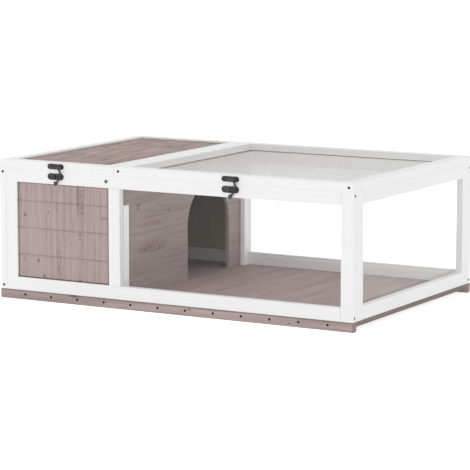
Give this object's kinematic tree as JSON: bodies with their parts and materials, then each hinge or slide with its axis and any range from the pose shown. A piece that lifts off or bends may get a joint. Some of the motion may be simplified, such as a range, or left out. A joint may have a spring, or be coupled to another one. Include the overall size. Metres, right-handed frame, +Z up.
{
  "type": "tortoise house",
  "caption": "Low wooden tortoise house with a boarded shelter, an arched inner doorway and a clear-sided run, under a board lid and a wire net lid on rear hinges with front hooks.",
  "frame": {"origin": "middle of the bounding box in X and Y, on the surface that the base battens stand on", "axes": "+X along the front from the boarded shelter to the run, +Y from the latches to the hinges, +Z up"},
  "size_m": [0.93, 0.6308, 0.328],
  "materials": {
    "white_paint": "satin white paint on planed timber",
    "stained_boards": "matt grey-brown stain with grain and knots",
    "stained_base": "matt dark grey-brown stain",
    "clear_sheet": "clear polished acrylic",
    "grey_wire": "dull galvanised wire",
    "black_metal": "satin black paint"
  },
  "bodies": {
    "house": {"front_stile_left": "white_paint", "front_stile_right": "white_paint", "front_rail_bottom": "white_paint", "front_rail_top": "white_paint", "front_post": "white_paint", "front_boards": "stained_boards", "front_window": "clear_sheet", "back_stile_left": "white_paint", "back_stile_right": "white_paint", "back_rail_bottom": "white_paint", "back_rail_top": "white_paint", "back_post": "white_paint", "back_boards": "stained_boards", "back_window": "clear_sheet", "left_stile_front": "white_paint", "left_stile_back": "white_paint", "left_rail_bottom": "white_paint", "left_rail_top": "white_paint", "right_stile_front": "white_paint", "right_stile_back": "white_paint", "right_rail_bottom": "white_paint", "right_rail_top": "white_paint", "left_boards": "stained_boards", "right_window": "clear_sheet", "batten_front": "stained_base", "batten_back": "stained_base", "floor_panel": "stained_base", "divider_panel": "stained_boards", "guide_front_left": "white_paint", "guide_front_right": "white_paint", "guide_back_left": "white_paint", "guide_back_right": "white_paint", "roof_latch_keeper": "black_metal", "roof_hinge_left_wall_leaf": "black_metal", "roof_hinge_left_pin": "black_metal", "roof_hinge_right_wall_leaf": "black_metal", "roof_hinge_right_pin": "black_metal", "net_latch_keeper": "black_metal", "net_hinge_left_wall_leaf": "black_metal", "net_hinge_left_pin": "black_metal", "net_hinge_right_wall_leaf": "black_metal", "net_hinge_right_pin": "black_metal"},
    "roof_lid": {"roof_lid_rail_front": "white_paint", "roof_lid_rail_back": "white_paint", "roof_lid_rail_left": "white_paint", "roof_lid_rail_right": "white_paint", "roof_latch_plate": "black_metal", "roof_hinge_left_lid_leaf": "black_metal", "roof_hinge_right_lid_leaf": "black_metal", "roof_panel": "stained_boards"},
    "net_lid": {"net_lid_rail_front": "white_paint", "net_lid_rail_back": "white_paint", "net_lid_rail_left": "white_paint", "net_lid_rail_right": "white_paint", "net_latch_plate": "black_metal", "net_hinge_left_lid_leaf": "black_metal", "net_hinge_right_lid_leaf": "black_metal", "wire_net": "grey_wire"},
    "roof_hook": {"roof_latch_hook": "black_metal"},
    "net_hook": {"net_latch_hook": "black_metal"}
  },
  "joints": [
    {"name": "roof_lid_hinge", "type": "hinge", "parent": "house", "child": "roof_lid", "pos_m": [-0.3069, 0.3124, 0.30885], "axis": [-1, 0, 0], "range_deg": [0, 105]},
    {"name": "net_lid_hinge", "type": "hinge", "parent": "house", "child": "net_lid", "pos_m": [0.1586, 0.3124, 0.30885], "axis": [-1, 0, 0], "range_deg": [0, 105]},
    {"name": "roof_hook_swing", "type": "hinge", "parent": "roof_lid", "child": "roof_hook", "pos_m": [-0.2939, -0.312, 0.3195], "axis": [0, -1, 0], "range_deg": [0, 110]},
    {"name": "net_hook_swing", "type": "hinge", "parent": "net_lid", "child": "net_hook", "pos_m": [0.1716, -0.312, 0.3195], "axis": [0, -1, 0], "range_deg": [0, 110]}
  ]
}
